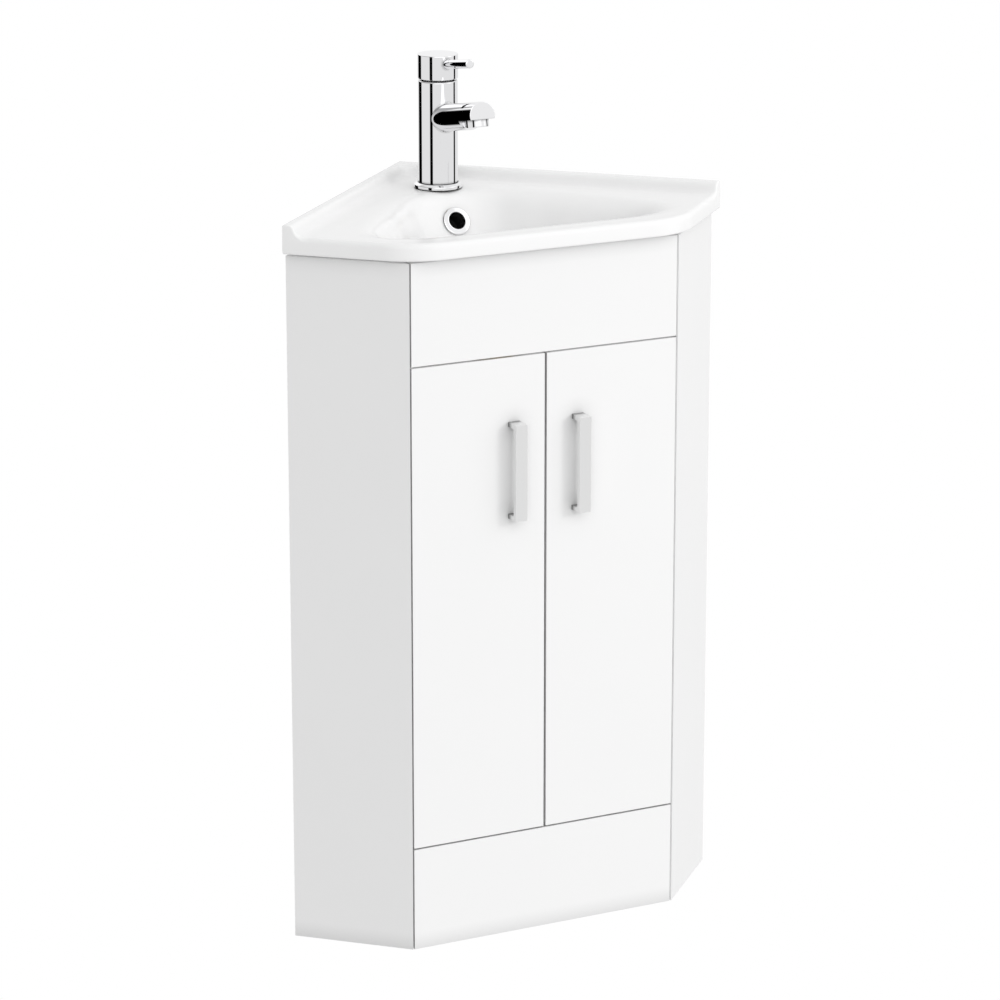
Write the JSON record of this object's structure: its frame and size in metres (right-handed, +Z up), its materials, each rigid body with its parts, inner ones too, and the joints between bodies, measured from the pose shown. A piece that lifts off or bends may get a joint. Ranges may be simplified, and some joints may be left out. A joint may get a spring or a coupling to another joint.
{
  "type": "corner vanity unit",
  "caption": "Five-sided corner cupboard with inset doors and strap handles, ceramic corner basin with wall upstands, and a single-lever mixer tap with push waste.",
  "frame": {"origin": "on the floor, centre of the overall outline", "axes": "+Z up; the doors face -Y; the two walls meet at the rear corner, at +Y; +X to the right when facing the doors"},
  "size_m": [0.5692, 0.4018, 1.009],
  "materials": {
    "white_lacquer": "gloss white lacquer on board",
    "white_board": "white faced board",
    "pine": "raw",
    "steel": "nickel plated",
    "satin_metal": "satin",
    "grey_plastic": "moulded",
    "white_plastic": "moulded",
    "glazed_ceramic": "gloss glaze",
    "chrome": "polished",
    "brass": "turned",
    "rubber": "moulded"
  },
  "bodies": {
    "cabinet": {"side_panel_left": "white_lacquer", "side_panel_right": "white_lacquer", "base_panel": "white_board", "plinth_panel": "white_lacquer", "fascia_panel": "white_lacquer", "front_stretcher": "white_board", "upper_rail_left": "white_board", "upper_rail_right": "white_board", "lower_rail_left": "white_board", "lower_rail_right": "white_board", "corner_blocks": "pine", "rear_post": "pine", "carcass_screws": "steel", "carcass_dowels": "pine", "wall_bracket_left": "steel", "wall_bracket_right": "steel", "bracket_screws": "steel", "magnetic_catch": "grey_plastic", "hinge_arms_left": "steel", "hinge_arms_right": "steel", "hinge_plates_left": "steel", "hinge_plates_right": "steel", "hinge_plate_screws": "steel", "basin": "glazed_ceramic", "overflow_ring": "chrome", "waste_flange": "chrome", "waste_body": "brass", "waste_backnut": "brass", "waste_seals": "rubber", "tap_flange": "chrome", "tap_body": "chrome", "aerator": "chrome", "cartridge": "white_plastic", "cartridge_nut": "steel", "tap_stud": "steel", "tap_washer": "rubber", "horseshoe_plate": "steel", "tap_fixing_nut": "brass", "hot_inlet": "brass", "cold_inlet": "brass"},
    "left_door": {"door_left": "white_lacquer", "handle_left": "satin_metal", "handle_screws_left": "steel", "hinge_cups_left": "steel", "hinge_pins_left": "steel", "door_screws_left": "steel", "strike_plate_left": "steel"},
    "right_door": {"door_right": "white_lacquer", "handle_right": "satin_metal", "handle_screws_right": "steel", "hinge_cups_right": "steel", "hinge_pins_right": "steel", "door_screws_right": "steel", "strike_plate_right": "steel"},
    "tap_swivel": {"cartridge_spindle": "steel", "spindle_pin": "steel"},
    "tap_lever": {"tap_cap": "chrome", "tap_lever": "chrome", "cap_grub_screw": "steel"},
    "plug": {"waste_plug": "chrome"}
  },
  "joints": [
    {"name": "left_door_hinge", "type": "hinge", "parent": "cabinet", "child": "left_door", "pos_m": [-0.1492, -0.1724, 0.41], "axis": [0, 0, 1], "range_deg": [-95, 0]},
    {"name": "right_door_hinge", "type": "hinge", "parent": "cabinet", "child": "right_door", "pos_m": [0.1492, -0.1724, 0.41], "axis": [0, 0, 1], "range_deg": [0, 95]},
    {"name": "tap_turn", "type": "hinge", "parent": "cabinet", "child": "tap_swivel", "pos_m": [0, 0.0945, 0.9729], "axis": [0, 0, 1], "range_deg": [-45, 45]},
    {"name": "tap_lift", "type": "hinge", "parent": "tap_swivel", "child": "tap_lever", "pos_m": [0, 0.1105, 0.9828], "axis": [-1, 0, 0], "range_deg": [0, 14]},
    {"name": "plug_slide", "type": "slide", "parent": "cabinet", "child": "plug", "axis": [0, 0, 1], "range_m": [0, 0.008]}
  ]
}
